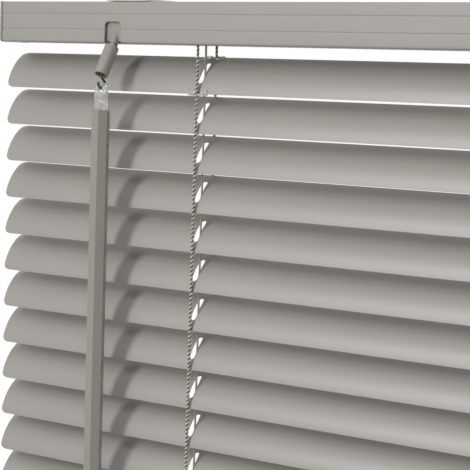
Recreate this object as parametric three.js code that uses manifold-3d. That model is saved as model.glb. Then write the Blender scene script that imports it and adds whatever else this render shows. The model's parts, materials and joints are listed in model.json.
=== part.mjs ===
// A 25 mm venetian blind with a wand tilter and a cordless spring lift, in millimetres, +Z up.
// X runs along the blind, the room is towards -Y. The origin is the screw face on top of the left bracket.
import * as THREE from "three";
import { mergeVertices } from "three/addons/utils/BufferGeometryUtils.js";
import Module from "manifold-3d";

const wasm = await Module();
wasm.setup();

// Driving dimensions
const gap = 0.3; // clearance kept between pieces that touch
const railLength = 477; // with its end caps
const bracketInset = 94.5; // from each end of the headrail to the middle of a bracket
const ladderInset = 140.5; // from each end of the headrail to a ladder
const tilterInset = 85; // from the left end of the headrail to the wand
const slatInset = 0.9; // from the end of the headrail to the end of a slat

const rail = { depth: 25.4, height: 23, wall: 1, lip: 3.6, top: -1.5, corner: 1.6 };
const groove = { deep: 0.35, wide: 0.7, shares: [0.3, 0.67] }; // shares: of the rail's height, from its top
const mouth = { x: 3.6, y: 11.4 }; // half of the opening where a ladder leaves the headrail
const notch = { wide: 11.4, high: 12, round: 2.4, deep: 8 }; // for the tilter's snout
const cap = { thick: 1.6, deep: 6, wall: 1.2, proud: 0.2, corner: 2.4 };
const slat = { count: 14, pitch: 21.5, chord: 25, thick: 0.42, halfAngle: 28, tilt: 53, corner: 3.4 };
const slot = { length: 14, width: 3.6 }; // the route hole of a lift cord
const string = { radius: 0.6, clear: 0.4 }; // clear: between the string and a slat's edge
const lift = { radius: 0.6 }; // the lift cord runs between the ladder strings
const rod = { y: 2.2, z: -13, radius: 2 };
const wand = { across: 9, bore: 3.3, length: 240, turn: 7 }; // turn: of its flats about Z
const snap = { radius: 1.2, drop: 20 }; // the snap hole, from the wand's top
const worm = { lean: 30, y: -12.5, z: -26 }; // where the worm's axis leaves the headrail
const firstSlatZ = -39.75;
const railGapZ = 20; // from the last slat down to the bottom rail

// Worked out from them
const left = -bracketInset;
const right = left + railLength;
const middle = (left + right) / 2;
const ladders = [left + ladderInset, right - ladderInset];
const wandX = left + tilterInset;
const radians = THREE.MathUtils.degToRad;
const tilt = radians(slat.tilt);
const half = radians(slat.halfAngle);
const stringReach = slat.chord / 2 + (string.radius + string.clear) / Math.cos(tilt);
const arcRadius = slat.chord / 2 / Math.sin(half);
const sagitta = arcRadius * (1 - Math.cos(half));
const pivotDrop = sagitta / 2; // the tilting axis lies this far under the crown of a slat
const bottomZ = firstSlatZ - (slat.count - 1) * slat.pitch - railGapZ;

const blind = new THREE.Group();

const finishes = {
  plastic: { color: 0x9a968d, roughness: 0.45 },
  slatPlastic: { color: 0xa8a39a, roughness: 0.4 },
  clear: { color: 0xd9dcda, roughness: 0.15, transparent: true, opacity: 0.5 },
  white: { color: 0xe4e2dc, roughness: 0.5 },
  cord: { color: 0x8f8a81, roughness: 0.9 },
  steel: { color: 0x6f6f6e, roughness: 0.35, metalness: 1 },
  painted: { color: 0xa19d96, roughness: 0.4, metalness: 0.2 },
};

// Adds one named node to the blind, or to a group of it.
function add(name, geometry, finish, parent = blind) {
  const mesh = new THREE.Mesh(geometry, new THREE.MeshStandardMaterial(finishes[finish]));
  mesh.name = name;
  parent.add(mesh);
  return mesh;
}

// Geometry to manifold solid and back
function solid(geometry) {
  const bare = geometry.clone();
  bare.deleteAttribute("normal");
  bare.deleteAttribute("uv");
  const merged = mergeVertices(bare, 1e-4);
  return new wasm.Manifold(
    new wasm.Mesh({
      numProp: 3,
      vertProperties: new Float32Array(merged.attributes.position.array),
      triVerts: new Uint32Array(merged.index.array),
    }),
  );
}

function geometryOf(made) {
  const mesh = made.getMesh();
  const geometry = new THREE.BufferGeometry();
  geometry.setAttribute("position", new THREE.BufferAttribute(mesh.vertProperties, 3));
  geometry.setIndex(new THREE.BufferAttribute(mesh.triVerts, 1));
  return geometry;
}

// A list of solids joined, less a list of cuts.
function shaped(parts, cuts = []) {
  let made = solid(parts[0]);
  for (const part of parts.slice(1)) made = made.add(solid(part));
  for (const cut of cuts) made = made.subtract(solid(cut));
  return geometryOf(made);
}

// A box from its low to its high corner.
function box(x0, x1, y0, y1, z0, z1) {
  return new THREE.BoxGeometry(x1 - x0, y1 - y0, z1 - z0)
    .translate((x0 + x1) / 2, (y0 + y1) / 2, (z0 + z1) / 2);
}

// A drawn section in (y, z), extruded along X from x0 to x1.
const alongX = new THREE.Matrix4().makeBasis(
  new THREE.Vector3(0, 1, 0),
  new THREE.Vector3(0, 0, 1),
  new THREE.Vector3(1, 0, 0),
);
function extrudeX(shape, x0, x1, curveSegments = 6) {
  return new THREE.ExtrudeGeometry(shape, { depth: x1 - x0, bevelEnabled: false, curveSegments })
    .applyMatrix4(alongX)
    .translate(x0, 0, 0);
}

// A cylinder along X, Y or Z from its middle point.
function cylinder(axis, radius, length, x, y, z, sides = 16) {
  const geometry = new THREE.CylinderGeometry(radius, radius, length, sides);
  if (axis === "x") geometry.rotateZ(Math.PI / 2);
  if (axis === "z") geometry.rotateX(Math.PI / 2);
  return geometry.translate(x, y, z);
}

// A lathe profile of [radius, height] pairs, turned about Z.
function lathe(points, sides = 16) {
  const profile = points.map(([r, h]) => new THREE.Vector2(r, h));
  return new THREE.LatheGeometry(profile, sides).rotateX(Math.PI / 2);
}

// The eight-sided section of a cord.
function ring(radius) {
  const shape = new THREE.Shape();
  for (let side = 0; side < 8; side++) {
    const turn = (side / 8) * Math.PI * 2;
    shape[side ? "lineTo" : "moveTo"](radius * Math.cos(turn), radius * Math.sin(turn));
  }
  return shape;
}

// A taut cord along straight runs between [x, y, z] points, with a round knuckle at each corner.
function cord(points, radius) {
  const places = points.map((p) => new THREE.Vector3(...p));
  const parts = [];
  for (let i = 1; i < places.length; i++) {
    const path = new THREE.LineCurve3(places[i - 1], places[i]);
    parts.push(new THREE.ExtrudeGeometry(ring(radius), { steps: 1, extrudePath: path }));
    if (i < places.length - 1)
      parts.push(new THREE.IcosahedronGeometry(radius, 0).translate(...points[i]));
  }
  return shaped(parts);
}

// A drawn shape in (x, z), carried back along Y from its front face at y.
function frontShape(shape, y, depth, curveSegments) {
  return new THREE.ExtrudeGeometry(shape, { depth, bevelEnabled: false, curveSegments })
    .rotateX(Math.PI / 2)
    .translate(0, y + depth, 0);
}

// A straight slot in (x, y) with round ends, centred on the origin, its length along Y.
function slotShape(length, width) {
  const shape = new THREE.Shape();
  const r = width / 2;
  const reach = length / 2 - r;
  shape.absarc(0, reach, r, 0, Math.PI, false);
  shape.absarc(0, -reach, r, Math.PI, 2 * Math.PI, false);
  shape.closePath();
  return shape;
}

function slotCut(length, width, x, y, z, height) {
  return new THREE.ExtrudeGeometry(slotShape(length, width), {
    depth: height,
    bevelEnabled: false,
    curveSegments: 2,
  }).translate(x, y, z - height / 2);
}

// Headrail: a channel, open at the top, with two grooves along its front.

const channelEnds = [left + cap.thick + gap, right - cap.thick - gap];

function headrail() {
  const front = -rail.depth / 2;
  const back = rail.depth / 2;
  const top = rail.top;
  const floor = top - rail.height;
  const w = rail.wall;
  const corner = rail.corner;
  const section = new THREE.Shape();
  section.moveTo(front + corner, floor);
  section.lineTo(back - corner, floor);
  section.quadraticCurveTo(back, floor, back, floor + corner);
  section.lineTo(back, top);
  section.lineTo(back - rail.lip, top);
  section.lineTo(back - rail.lip, top - w);
  section.lineTo(back - w, top - w);
  section.lineTo(back - w, floor + w);
  section.lineTo(front + w, floor + w);
  section.lineTo(front + w, top - w);
  section.lineTo(front + rail.lip, top - w);
  section.lineTo(front + rail.lip, top);
  section.lineTo(front, top);
  for (const share of groove.shares) {
    const z = top - share * rail.height;
    section.lineTo(front, z + groove.wide / 2);
    section.lineTo(front + groove.deep, z);
    section.lineTo(front, z - groove.wide / 2);
  }
  section.lineTo(front, floor + corner);
  section.quadraticCurveTo(front, floor, front + corner, floor);
  const cuts = ladders.map((x) =>
    box(x - mouth.x, x + mouth.x, -mouth.y, mouth.y, floor - w, floor + 2 * w),
  );
  cuts.push(notchCut(floor - w));
  return shaped([extrudeX(section, channelEnds[0], channelEnds[1], 3)], cuts);
}

// The opening for the tilter's snout: round at the top, open through the bottom.
function notchCut(bottom) {
  const side = notch.wide / 2;
  const r = notch.round;
  const spring = rail.top - rail.height + notch.high - r;
  const outline = new THREE.Shape();
  outline.moveTo(-side, bottom);
  outline.lineTo(side, bottom);
  outline.lineTo(side, spring);
  outline.absarc(side - r, spring, r, 0, Math.PI / 2, false);
  outline.absarc(-side + r, spring, r, Math.PI / 2, Math.PI, false);
  outline.closePath();
  const front = -rail.depth / 2 - rail.wall;
  return frontShape(outline, front, rail.wall + notch.deep, 3).translate(wandX, 0, 0);
}

// The outer section of the headrail, a little proud of it, for the end caps.
function capSection() {
  const front = -rail.depth / 2 - cap.proud;
  const back = rail.depth / 2 + cap.proud;
  const top = rail.top + cap.proud;
  const floor = rail.top - rail.height - cap.proud;
  const corner = cap.corner;
  const section = new THREE.Shape();
  section.moveTo(front + corner, floor);
  section.lineTo(back - corner, floor);
  section.quadraticCurveTo(back, floor, back, floor + corner);
  section.lineTo(back, top);
  section.lineTo(front, top);
  section.lineTo(front, floor + corner);
  section.quadraticCurveTo(front, floor, front + corner, floor);
  return section;
}

// A flange over the end of the channel, with a hollow plug inside it; worked out for the left end.
function endCap(side) {
  const end = channelEnds[0];
  const y = rail.depth / 2 - rail.wall - gap;
  const low = rail.top - rail.height + rail.wall + gap;
  const high = rail.top - rail.wall - gap;
  const root = end - gap - cap.thick / 2;
  const foot = end + cap.deep;
  const flange = extrudeX(capSection(), left, left + cap.thick, 3);
  const plug = box(root, foot, -y, y, low, high);
  const hollow = box(end, foot + 1, -y + cap.wall, y - cap.wall, low + cap.wall, 0);
  const made = solid(shaped([flange, plug], [hollow]));
  const turnedOver = made.mirror([1, 0, 0]).translate([2 * middle, 0, 0]);
  return geometryOf(side < 0 ? made : turnedOver);
}

add("headrail", headrail(), "painted");
add("end_cap_left", endCap(-1), "plastic");
add("end_cap_right", endCap(1), "plastic");

// Mounting brackets: a screw plate hooked under the front lip, a cam lever under the rear lip.

const plate = { wide: 28, thick: 1.2, front: -13, back: 12.6 };
const hook = { half: 11, thick: 1.2, reach: 2.2 };
const screw = { long: 8, wide: 3.6, x: 8.5, y: 1 }; // the slots for the mounting screws
const cam = { y: 7, low: -4, high: -2.8, reach: 3.8, arm: 12, side: 2.8, half: 1.6, tab: 1.7 };

function bracket() {
  const halfWide = plate.wide / 2;
  const underLip = rail.top - rail.wall - gap;
  const web = -rail.depth / 2 + rail.lip + gap;
  const half = hook.half;
  const low = underLip - hook.thick;
  const through = 3 * plate.thick;
  const mid = -plate.thick / 2;
  return shaped(
    [
      box(-halfWide, halfWide, plate.front, plate.back, -plate.thick, 0),
      box(-half, half, web, web + hook.thick, low, mid),
      box(-half, half, web - hook.reach, web + hook.thick / 2, low, underLip),
    ],
    [
      cylinder("z", cam.half + gap, through, 0, cam.y, mid),
      slotCut(screw.long, screw.wide, -screw.x, screw.y, mid, through),
      slotCut(screw.long, screw.wide, screw.x, screw.y, mid, through),
    ],
  );
}

// The lever's own origin is on its pivot, so that it turns in place.
function camLever() {
  const { arm, side, half, reach } = cam;
  const lobe = new THREE.Shape();
  lobe.moveTo(-arm, -half);
  lobe.lineTo(side, -half);
  lobe.lineTo(side, reach - 1);
  lobe.quadraticCurveTo(side, reach, side - 1, reach);
  lobe.lineTo(1 - side, reach);
  lobe.quadraticCurveTo(-side, reach, -side, reach - 1);
  lobe.lineTo(-side, half);
  lobe.lineTo(-arm, half);
  lobe.closePath();
  const depth = cam.high - cam.low;
  const flat = new THREE.ExtrudeGeometry(lobe, { depth, bevelEnabled: false, curveSegments: 3 });
  const pinLow = cam.low - 0.1;
  const pinHigh = -0.2;
  return shaped([
    flat.translate(0, 0, cam.low),
    cylinder("z", half, pinHigh - pinLow, 0, 0, (pinLow + pinHigh) / 2),
    box(-arm, -arm + depth, -half, half, cam.low - cam.tab, cam.low + 0.2),
  ]);
}

[["left", 0], ["right", right - bracketInset]].forEach(([side, x]) => {
  add("bracket_" + side, bracket(), "white").position.set(x, 0, 0);
  add("bracket_lever_" + side, camLever(), "white").position.set(x, cam.y, 0);
});

// Tilter: a worm on a leaning stem turns a gear on the tilt rod.

const gear = { teeth: 15, outer: 4.05, root: 3.5, half: 2 };
const housing = { half: 11, front: -10.8, back: 11.2, low: -23.2, high: -6.2, wall: 1.4 };
const snout = { outer: 2.6, bore: 1.9, start: 1, length: 6.5 };
const stem = { radius: 1.5, foot: -9, top: 23, tip: 1 };
const thread = { radius: 1.85, start: 14.3, pitch: 1.7, turns: 5, rise: 0.4, flat: 0.9, fall: 1.3 };

function tilterHousing() {
  const { half, front, back, low, high } = housing;
  const w = housing.wall;
  const bearing = rod.radius + gap;
  const along = (piece, at) => onWorm(piece.translate(0, 0, at));
  const block = shaped(
    [box(-half, half, front, back, low, high)],
    [
      box(-half + w, half - w, front + w, back - w, low + w, 0),
      cylinder("x", bearing, 3 * half, 0, rod.y, rod.z),
      box(-2 * half, 2 * half, rod.y - bearing, rod.y + bearing, rod.z, 0),
    ],
  );
  const tube = along(cylinder("z", snout.outer, snout.length, 0, 0, 0), snout.start + snout.length / 2);
  const boreLength = 34;
  const boreAt = 12;
  return shaped([block, tube], [along(cylinder("z", snout.bore, boreLength, 0, 0, 0), boreAt)]);
}

// From the worm's own frame (its axis along Z, up the stem) to the blind's, at X = 0.
function onWorm(geometry) {
  return geometry.rotateX(-radians(worm.lean)).translate(0, worm.y, worm.z);
}

function wormShaft() {
  const profile = [[0, stem.foot], [stem.radius, stem.foot]];
  for (let turn = 0; turn < thread.turns; turn++) {
    const at = thread.start + turn * thread.pitch;
    profile.push([stem.radius, at], [thread.radius, at + thread.rise]);
    profile.push([thread.radius, at + thread.flat], [stem.radius, at + thread.fall]);
  }
  profile.push([stem.tip, stem.top], [0, stem.top]);
  return onWorm(lathe(profile, 8));
}

function tilterGear() {
  const outline = new THREE.Shape();
  const steps = gear.teeth * 4;
  for (let step = 0; step < steps; step++) {
    const r = step % 4 < 2 ? gear.outer : gear.root;
    const turn = ((step + 0.5) / steps) * Math.PI * 2;
    outline[step ? "lineTo" : "moveTo"](r * Math.cos(turn), r * Math.sin(turn));
  }
  outline.holes.push(new THREE.Path().absarc(0, 0, rod.radius + gap, 0, Math.PI * 2, true));
  return extrudeX(outline, -gear.half, gear.half, 5).translate(0, rod.y, rod.z);
}

add("tilter_housing", tilterHousing(), "plastic").position.x = wandX;
add("tilter_worm", wormShaft(), "white").position.x = wandX;
add("tilter_gear", tilterGear(), "white").position.x = wandX;

const rodOver = 14; // the rod runs on past the tilter and past the right ladder
const rodEnds = [wandX - rodOver, ladders[1] + rodOver];
const rodLength = rodEnds[1] - rodEnds[0];
add(
  "tilt_rod",
  cylinder("x", rod.radius, rodLength, (rodEnds[0] + rodEnds[1]) / 2, rod.y, rod.z, 12),
  "steel",
);

const drum = { hub: 3.2, core: 4.6, flange: 5.4, end: 9.5, out: 6.3, in: 5.3 };

function tiltDrum() {
  const bore = rod.radius + gap;
  const { hub, core, flange } = drum;
  const half = [[core, drum.in], [flange, drum.in], [flange, drum.out], [hub, drum.out], [hub, drum.end]];
  half.push([bore, drum.end]);
  const mirrored = half.map(([r, h]) => [r, -h]).reverse();
  return lathe([...mirrored, ...half, mirrored[0]], 12).rotateY(Math.PI / 2).translate(0, rod.y, rod.z);
}

const base = { x: 13, y: 11.2, low: -23.2, high: -21.7 };
const cheek = { near: 7, far: 8.4, front: -5, back: 9, high: -12 };
const ladderWay = { x: 5.8, front: -9.4, back: 12 }; // through the base, for the strings and the cord
const cordWay = { y: 1.8, low: -20.7, high: -17.3 }; // through the cheeks, for the lift cord

function cradle() {
  const parts = [box(-base.x, base.x, -base.y, base.y, base.low, base.high)];
  for (const [x0, x1] of [[-cheek.far, -cheek.near], [cheek.near, cheek.far]])
    parts.push(box(x0, x1, cheek.front, cheek.back, base.high - 0.5, cheek.high));
  const bearing = drum.hub + gap;
  const over = base.x + 2;
  return shaped(parts, [
    box(-ladderWay.x, ladderWay.x, ladderWay.front, ladderWay.back, base.low - 1, base.high + 1),
    cylinder("x", bearing, 2 * over, 0, rod.y, rod.z),
    box(-over, over, rod.y - bearing, rod.y + bearing, rod.z, 0),
    box(-over, over, -cordWay.y, cordWay.y, cordWay.low, cordWay.high),
  ]);
}

["left", "right"].forEach((side, i) => {
  add("tilt_drum_" + side, tiltDrum(), "white").position.x = ladders[i];
  add("cradle_" + side, cradle(), "white").position.x = ladders[i];
});

// Spring lift: a tray on the floor of the headrail with the spool that both cords wind on.

const spool = { radius: 7.3, core: 5.6, rim: 0.8, slope: 1.1, low: -21.6, high: -17.4, post: 1.6 };
const tray = { x: 34, y: 11.2, low: -23.2, high: -16.2, wall: 1.3 };
const coil = { x: 20, y: 2.4, radius: 7.2, high: 4.6, z: -20 }; // the spring coils beside the spool
const cordZ = -19;
const cordGate = { deep: 3, near: 3.6, far: 9.4, low: -20.8 }; // in each end wall of the tray

function springMotor() {
  const { x, y, low, high } = tray;
  const w = tray.wall;
  const open = high + 1;
  const deep = cordGate.deep;
  const walls = shaped(
    [box(-x, x, -y, y, low, high)],
    [
      box(-x + w, x - w, -y + w, y - w, low + w, open),
      box(-x - deep, -x + deep, -cordGate.far, -cordGate.near, cordGate.low, open),
      box(x - deep, x + deep, cordGate.near, cordGate.far, cordGate.low, open),
    ],
  );
  const postHigh = 5.6;
  return shaped([
    walls,
    cylinder("z", spool.post, postHigh, 0, 0, -19.8, 12),
    cylinder("z", coil.radius, coil.high, -coil.x, coil.y, coil.z, 20),
    cylinder("z", coil.radius, coil.high, coil.x, -coil.y, coil.z, 20),
  ]);
}

function cordSpool() {
  const bore = spool.post + gap;
  const { low, high, radius, core, rim, slope } = spool;
  return lathe([
    [bore, low], [radius, low], [radius, low + rim], [core, low + slope],
    [core, high - slope], [radius, high - rim], [radius, high], [bore, high], [bore, low],
  ], 20);
}

add("spring_motor", springMotor(), "white").position.x = middle;
add("cord_spool", cordSpool(), "white").position.x = middle;

// Slats, each on a rung of the left ladder; the right ladder's rungs are like them.

// The band of a slat or the skin of the bottom rail, in its own frame with the tilting axis at 0.
const arcCentre = pivotDrop - arcRadius;

function band(thick) {
  const shape = new THREE.Shape();
  const from = Math.PI / 2 - half;
  const to = Math.PI / 2 + half;
  shape.absarc(0, arcCentre, arcRadius + thick / 2, from, to, false);
  shape.absarc(0, arcCentre, arcRadius - thick / 2, to, from, true);
  shape.closePath();
  return shape;
}

function slatGeometry() {
  const x0 = left + slatInset;
  const x1 = right - slatInset;
  const r = slat.corner;
  const y = slat.chord / 2 + 0.5;
  const outline = new THREE.Shape();
  outline.absarc(x1 - r, y - r, r, 0, Math.PI / 2, false);
  outline.absarc(x0 + r, y - r, r, Math.PI / 2, Math.PI, false);
  outline.absarc(x0 + r, -y + r, r, Math.PI, 1.5 * Math.PI, false);
  outline.absarc(x1 - r, -y + r, r, 1.5 * Math.PI, 2 * Math.PI, false);
  outline.closePath();
  const depth = 16;
  const blank = new THREE.ExtrudeGeometry(outline, { depth, bevelEnabled: false, curveSegments: 2 })
    .translate(0, 0, -depth / 2);
  const holes = ladders.map((x) => solid(slotCut(slot.length, slot.width, x, 0, 0, depth)));
  let made = solid(extrudeX(band(slat.thick), x0 - 1, x1 + 1, 6)).intersect(solid(blank));
  for (const hole of holes) made = made.subtract(hole);
  return geometryOf(made);
}

const rung = { radius: 0.4, reach: 13.9, offset: -1.3 }; // it passes just beside the lift cord
const rungZ = -sagitta / 2 - slat.thick / 2 - gap - rung.radius;
const slatShape = slatGeometry();
const rungShape = cord([[0, -rung.reach, rungZ], [0, rung.reach, rungZ]], rung.radius);

for (let i = 0; i < slat.count; i++) {
  const number = String(i + 1).padStart(2, "0");
  const level = new THREE.Group();
  level.position.z = firstSlatZ - i * slat.pitch;
  level.rotation.x = tilt;
  blind.add(level);
  add("slat_" + number, slatShape, "slatPlastic", level);
  add("rung_" + number, rungShape, "cord", level).position.x = ladders[0] + rung.offset;
}

// Bottom rail, on the knots of the lift cords.

const rim = { floor: 5.2, wall: 1.2, corner: 2.2, cap: 1.4, plug: 5 };
const cordHole = { long: 10, wide: 2.8 };

// Crowned like a slat on top, with straight sides and a flat floor; inset moves every side inwards.
function rimSection(inset) {
  const y = slat.chord / 2 - inset;
  const reach = Math.asin(y / arcRadius);
  const shape = new THREE.Shape();
  const floor = -sagitta / 2 - rim.floor + inset;
  const corner = rim.corner;
  shape.absarc(0, arcCentre, arcRadius - inset, Math.PI / 2 - reach, Math.PI / 2 + reach, false);
  shape.lineTo(-y, floor + corner);
  shape.quadraticCurveTo(-y, floor, -y + corner, floor);
  shape.lineTo(y - corner, floor);
  shape.quadraticCurveTo(y, floor, y, floor + corner);
  shape.closePath();
  return shape;
}

const rimEnds = [left + slatInset + rim.cap + gap, right - slatInset - rim.cap - gap];

function bottomRail() {
  const hollow = shaped(
    [extrudeX(rimSection(0), rimEnds[0], rimEnds[1], 6)],
    [extrudeX(rimSection(rim.wall), rimEnds[0] - 1, rimEnds[1] + 1, 6)],
  );
  return shaped([hollow], ladders.map((x) => slotCut(cordHole.long, cordHole.wide, x, 0, 1, 4)));
}

function bottomCap(side) {
  const end = side < 0 ? rimEnds[0] : rimEnds[1];
  const inLap = 0.5; // the plug's root inside the flange
  const outer = Math.min(end + side * gap, end + side * (gap + rim.cap));
  const plug = Math.min(end + side * (gap + inLap), end - side * rim.plug);
  return shaped([
    extrudeX(rimSection(0), outer, outer + rim.cap, 6),
    extrudeX(rimSection(rim.wall + gap), plug, plug + rim.plug + gap + inLap, 6),
  ]);
}

const bottomLevel = new THREE.Group();
bottomLevel.position.z = bottomZ;
bottomLevel.rotation.x = tilt;
blind.add(bottomLevel);
add("bottom_rail", bottomRail(), "painted", bottomLevel);
add("bottom_cap_left", bottomCap(-1), "plastic", bottomLevel);
add("bottom_cap_right", bottomCap(1), "plastic", bottomLevel);

// Cords: ladder strings at the slats' edges, lift cords through their route holes.

const knot = { radius: 1, drop: 2.4 };
const turned = (y, z) => [
  y * Math.cos(tilt) - z * Math.sin(tilt),
  y * Math.sin(tilt) + z * Math.cos(tilt),
];
const edges = {
  front: turned(-stringReach, -sagitta / 2),
  rear: turned(stringReach, -sagitta / 2),
};

["left", "right"].forEach((side, i) => {
  const inward = i ? -1 : 1;
  const x = ladders[i];
  for (const [edge, [y, z]] of Object.entries(edges)) {
    const points = [[ladders[i], y, rod.z - 1], [ladders[i], y, bottomZ + z - 1]];
    add("ladder_" + edge + "_" + side, cord(points, string.radius), "cord");
  }
  const knotZ = bottomZ - knot.drop;
  const route = [
    [x, 0, knotZ + knot.radius + gap],
    [x, 0, cordZ - 1.6],
    [x + inward * 1.6, 0, cordZ],
    [middle - inward * 10, -inward * (spool.radius + 1.1), cordZ],
  ];
  add("lift_cord_" + side, cord(route, lift.radius), "cord");
  add("cord_knot_" + side, new THREE.SphereGeometry(knot.radius, 10, 6).translate(x, 0, knotZ), "cord");
});

// Wand: a sleeve on the stem, a wire hook, a clear connector and the hexagonal wand.

const sleeve = { bore: 3, outer: 4, low: -18.5, high: -0.5 };
const wire = { radius: 0.7, steps: 18 };
const stemReach = 17; // from the headrail along the leaning axis to the top of the hook
const lean = radians(worm.lean);
const hookTop = { y: worm.y - stemReach * Math.sin(lean), z: worm.z - stemReach * Math.cos(lean) };
const seatZ = hookTop.z - 8.45;
const eye = { bore: 2, outer: 4, drop: 1, thick: 2.2, shoulder: -11 };
const leg = { outer: 2.75, inner: 1.3, foot: -26, fork: 4 };
const eyeZ = seatZ - eye.drop;

function hookSleeve() {
  const { bore, outer, low, high } = sleeve;
  return onWorm(lathe([[bore, low], [outer, low], [outer, high], [bore, high], [bore, low]], 20));
}

// The wire drops from the sleeve, bows back and turns up again through the eye.
function wireHook() {
  const bend = [
    [0, 1.5], [0, -1.6], [0.5, -3.2], [2.3, -4.9], [2.7, -6.7], [1.3, -8.2],
    [0, -8.45], [-1.3, -8.2], [-2.6, -6.8], [-2.7, -5],
  ];
  const points = bend.map(([y, z]) => [wandX, hookTop.y + y, hookTop.z + z]);
  const path = new THREE.CatmullRomCurve3(points.map((p) => new THREE.Vector3(...p)));
  return new THREE.ExtrudeGeometry(ring(wire.radius), { steps: wire.steps, extrudePath: path });
}

// An eyelet, shoulders that rest on the wand, and two legs that snap inside it.
function connector() {
  const shoulder = eye.shoulder;
  const fork = shoulder + leg.fork;
  const outline = new THREE.Shape();
  outline.absarc(0, 0, eye.outer, 0, Math.PI, false);
  outline.lineTo(-eye.outer, shoulder);
  outline.lineTo(-leg.outer, shoulder);
  outline.lineTo(-leg.outer, leg.foot);
  outline.lineTo(-leg.inner, leg.foot);
  outline.lineTo(-leg.inner, fork);
  outline.absarc(0, fork, leg.inner, Math.PI, 0, true);
  outline.lineTo(leg.inner, leg.foot);
  outline.lineTo(leg.outer, leg.foot);
  outline.lineTo(leg.outer, shoulder);
  outline.lineTo(eye.outer, shoulder);
  outline.closePath();
  outline.holes.push(new THREE.Path().absarc(0, 0, eye.bore, 0, Math.PI * 2, true));
  return frontShape(outline, -eye.thick / 2, eye.thick, 8).translate(wandX, hookTop.y, eyeZ);
}

function wandTube() {
  const top = eyeZ + eye.shoulder - gap;
  const outline = new THREE.Shape();
  const r = wand.across / 2 / Math.cos(Math.PI / 6);
  for (let side = 0; side < 6; side++) {
    const turn = (side / 6) * Math.PI * 2;
    outline[side ? "lineTo" : "moveTo"](r * Math.cos(turn), r * Math.sin(turn));
  }
  outline.holes.push(new THREE.Path().absarc(0, 0, wand.bore, 0, Math.PI * 2, true));
  const depth = wand.length;
  const tube = new THREE.ExtrudeGeometry(outline, { depth, bevelEnabled: false, curveSegments: 6 });
  const wallMiddle = 3.5;
  const hole = cylinder("y", snap.radius, 6, 0, wallMiddle, depth - snap.drop, 10).rotateZ(-radians(60));
  return shaped([tube], [hole])
    .rotateZ(-radians(wand.turn))
    .translate(wandX, hookTop.y, top - depth);
}

add("hook_sleeve", hookSleeve(), "plastic").position.x = wandX;
add("wire_hook", wireHook(), "steel");
add("wand_connector", connector(), "clear");
add("wand", wandTube(), "plastic");

export default blind;
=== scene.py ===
import json
import math

import bmesh
import bpy
import numpy as np
from mathutils import Matrix, Vector


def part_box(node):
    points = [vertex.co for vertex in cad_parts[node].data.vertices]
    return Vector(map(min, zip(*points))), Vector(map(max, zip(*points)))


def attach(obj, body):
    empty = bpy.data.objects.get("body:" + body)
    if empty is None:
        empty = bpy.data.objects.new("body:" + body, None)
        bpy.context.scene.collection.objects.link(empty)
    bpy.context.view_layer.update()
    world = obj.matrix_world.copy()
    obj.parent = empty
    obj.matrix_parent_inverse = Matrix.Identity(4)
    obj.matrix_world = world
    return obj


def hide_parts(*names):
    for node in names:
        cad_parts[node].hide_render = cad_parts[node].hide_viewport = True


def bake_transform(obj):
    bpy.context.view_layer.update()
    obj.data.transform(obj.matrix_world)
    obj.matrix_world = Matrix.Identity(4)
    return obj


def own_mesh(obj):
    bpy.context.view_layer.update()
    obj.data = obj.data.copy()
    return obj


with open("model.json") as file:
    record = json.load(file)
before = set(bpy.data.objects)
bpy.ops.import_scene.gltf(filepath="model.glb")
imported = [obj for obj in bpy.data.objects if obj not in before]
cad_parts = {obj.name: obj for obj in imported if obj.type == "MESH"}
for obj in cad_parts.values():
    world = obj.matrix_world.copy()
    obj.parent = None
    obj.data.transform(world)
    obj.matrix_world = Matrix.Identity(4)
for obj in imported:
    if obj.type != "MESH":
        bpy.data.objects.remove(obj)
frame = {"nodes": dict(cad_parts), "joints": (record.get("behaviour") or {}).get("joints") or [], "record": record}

mm = 0.001
nodes = frame["nodes"]
joints = {joint["name"]: joint for joint in frame["joints"]}
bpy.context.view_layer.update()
print("frame loaded:", len(nodes), "nodes")


cameraValues = {"place": (0.614, -0.760, -0.0393), "turnLeft": 35.64, "tiltDown": 5.27, "roll": 1.79,
                "focal": 3.7096}  # focal length over the picture's width


def makeCamera(values):
    # A camera at its place, turned about Z, leaned down and rolled, in that order.
    data = bpy.data.cameras.new("camera")
    data.sensor_width = 36
    data.lens = 36 * values["focal"]
    data.clip_start = 0.01
    camera = bpy.data.objects.new("camera", data)
    bpy.context.scene.collection.objects.link(camera)
    turn = Matrix.Rotation(math.radians(values["turnLeft"]), 4, "Z")
    lean = Matrix.Rotation(math.radians(90 - values["tiltDown"]), 4, "X")
    roll = Matrix.Rotation(math.radians(values["roll"]), 4, "Z")
    camera.matrix_world = Matrix.Translation(values["place"]) @ turn @ lean @ roll
    bpy.context.scene.camera = camera


makeCamera(cameraValues)


slatCount = sum(name.startswith("slat_") for name in nodes)
numbers = [f"{i + 1:02d}" for i in range(slatCount)]
slatZ = [joints["tilt_" + number]["pos_m"][2] for number in numbers]
bottomZ = joints["tilt_bottom"]["pos_m"][2]
rodAt = np.array(joints["tilt"]["pos_m"])
sides = ("left", "right")


def middleOf(node, axis):
    # The middle of a CAD node's box along one axis.
    return float(np.mean([corner[axis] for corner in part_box(node)]))


ladderX = [middleOf("ladder_front_" + side, 0) for side in sides]
cordX = [middleOf("cord_knot_" + side, 0) for side in sides]
slatEnds = [float(corner[0]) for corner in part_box("slat_01")]
railFloor = float(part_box("headrail")[0][2])

slatValues = {"chord": 25 * mm, "halfAngle": 28, "tilt": 53, "thick": 0.42 * mm, "corner": 3.4 * mm,
              "slotLength": 14 * mm, "slotWidth": 3.6 * mm,
              "slotShare": 0.34,  # the share of the rows, each side of the middle, that pass through the slot
              "cornerColumns": 6}
restTilt = math.radians(slatValues["tilt"])
arcRadius = slatValues["chord"] / 2 / math.sin(math.radians(slatValues["halfAngle"]))
sagitta = arcRadius * (1 - math.cos(math.radians(slatValues["halfAngle"])))


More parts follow.
